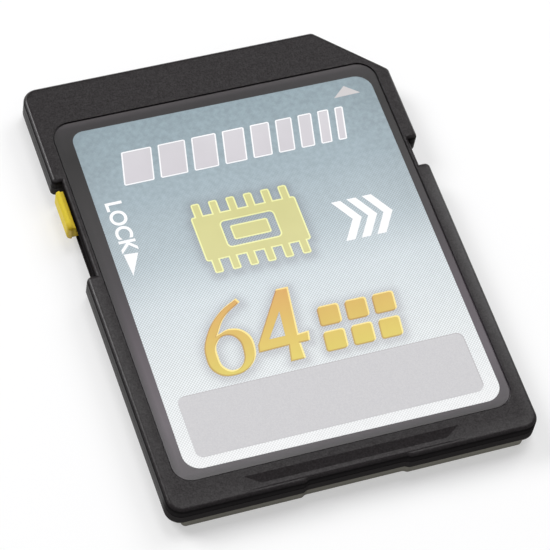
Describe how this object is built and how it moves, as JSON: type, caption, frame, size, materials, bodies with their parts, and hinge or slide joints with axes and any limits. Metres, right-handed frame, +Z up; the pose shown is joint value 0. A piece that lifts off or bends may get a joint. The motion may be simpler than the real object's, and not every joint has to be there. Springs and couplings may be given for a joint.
{
  "type": "memory card",
  "caption": "Thin keyed memory card: stepped black shells, printed label face, gold contact row on the underside, and a side tab that slides to lock it against writing.",
  "frame": {"origin": "centre of the contact face, at the bottom centre of the card's box", "axes": "+X along the width towards the keyed side, +Y along the length towards the contact end, +Z up through the label"},
  "size_m": [0.024, 0.032, 0.0021],
  "materials": {
    "case_black": "fine matte texture",
    "slider_yellow": "satin moulded plastic",
    "label_film": "printed satin film",
    "board_laminate": "green solder mask",
    "contact_gold": "gold plating",
    "chip_resin": "moulded resin",
    "capacitor_tan": "fired ceramic",
    "resistor_black": "glazed film"
  },
  "bodies": {
    "card": {"upper_shell": "case_black", "lower_shell": "case_black", "label": "label_film", "circuit_board": "board_laminate", "contact_pad_1": "contact_gold", "contact_pad_2": "contact_gold", "contact_pad_3": "contact_gold", "contact_pad_4": "contact_gold", "contact_pad_5": "contact_gold", "contact_pad_6": "contact_gold", "contact_pad_7": "contact_gold", "contact_pad_8": "contact_gold", "contact_pad_9": "contact_gold", "flash_chip": "chip_resin", "controller_chip": "chip_resin", "capacitor_1": "capacitor_tan", "capacitor_2": "capacitor_tan", "capacitor_3": "capacitor_tan", "capacitor_4": "capacitor_tan", "resistor_1": "resistor_black", "resistor_2": "resistor_black", "resistor_3": "resistor_black", "resistor_4": "resistor_black"},
    "slider": {"lock_slider": "slider_yellow"}
  },
  "joints": [
    {"name": "lock_slide", "type": "slide", "parent": "card", "child": "slider", "axis": [0, -1, 0], "range_m": [0, 0.0032]}
  ]
}
